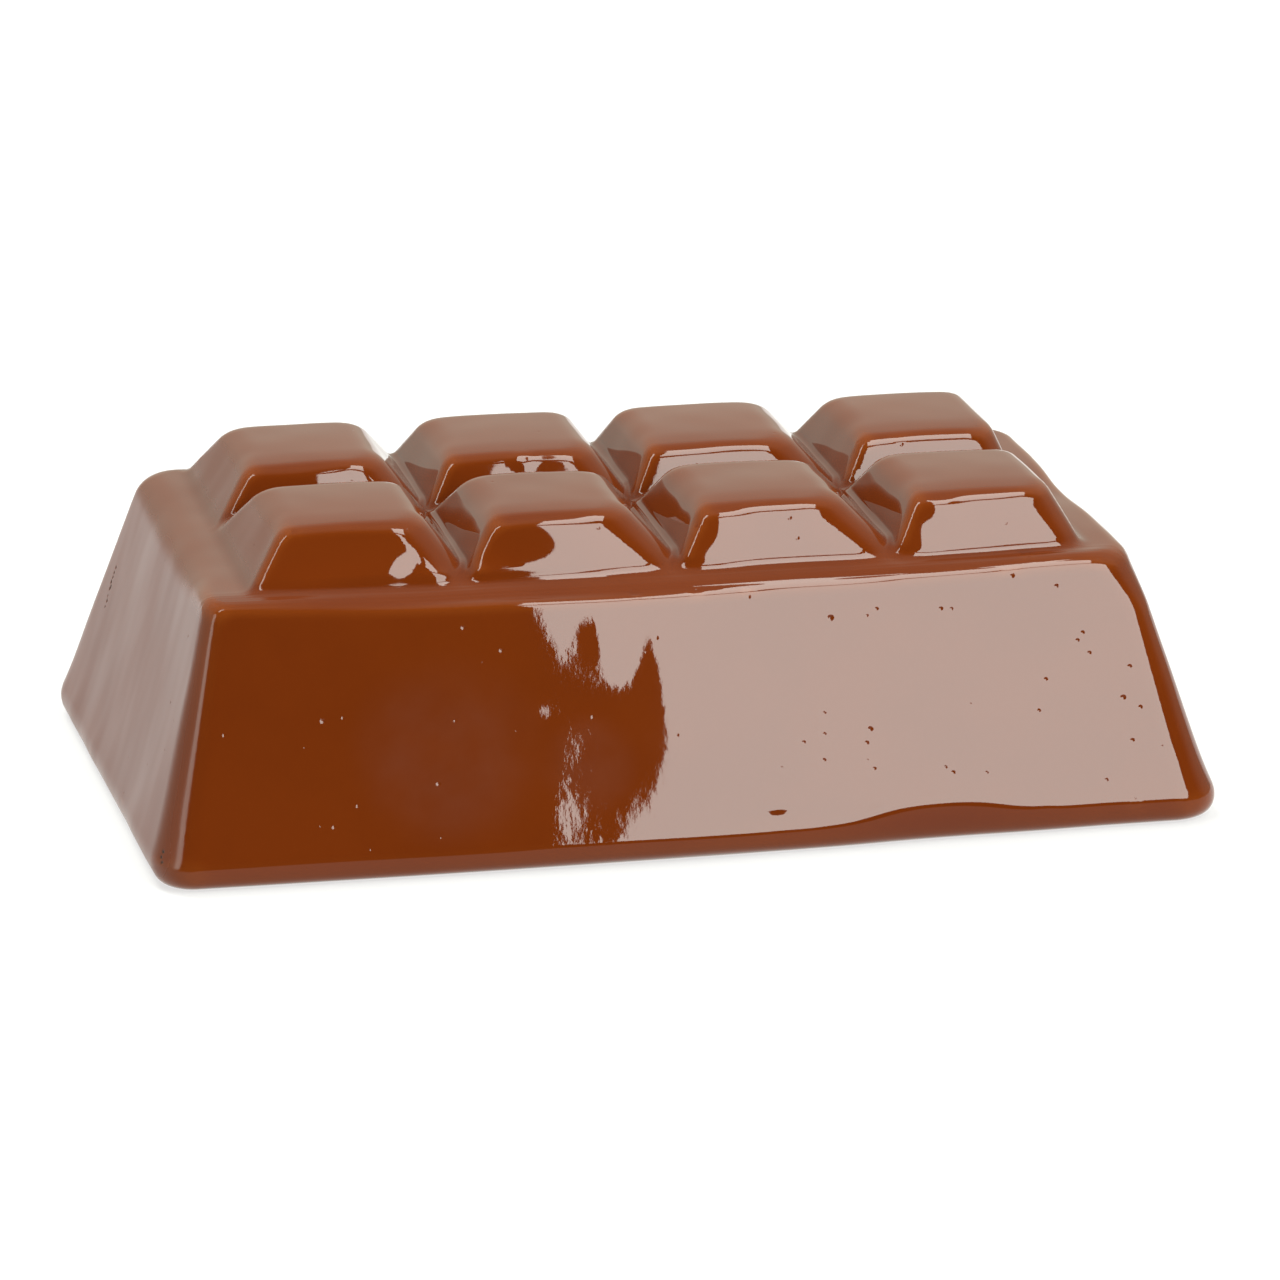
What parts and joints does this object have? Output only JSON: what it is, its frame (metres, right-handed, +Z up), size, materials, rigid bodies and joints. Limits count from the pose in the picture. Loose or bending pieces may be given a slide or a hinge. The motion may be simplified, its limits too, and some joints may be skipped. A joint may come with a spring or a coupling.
{
  "type": "ceramic chocolate bar",
  "caption": "Thick ingot-shaped chocolate bar with sloping sides, a flat ledge and rows of raised bevelled blocks, cast in glossy brown glazed ceramic.",
  "frame": {"origin": "on the table, under the middle of the base", "axes": "+X along the bar's length, -Y out of the long front side, +Z up through the blocks"},
  "size_m": [0.1738, 0.1123, 0.0506],
  "materials": {
    "glaze": "glossy transparent glaze over milk-chocolate brown, with pinholes"
  },
  "bodies": {
    "root": {"bar": "glaze"}
  },
  "joints": []
}
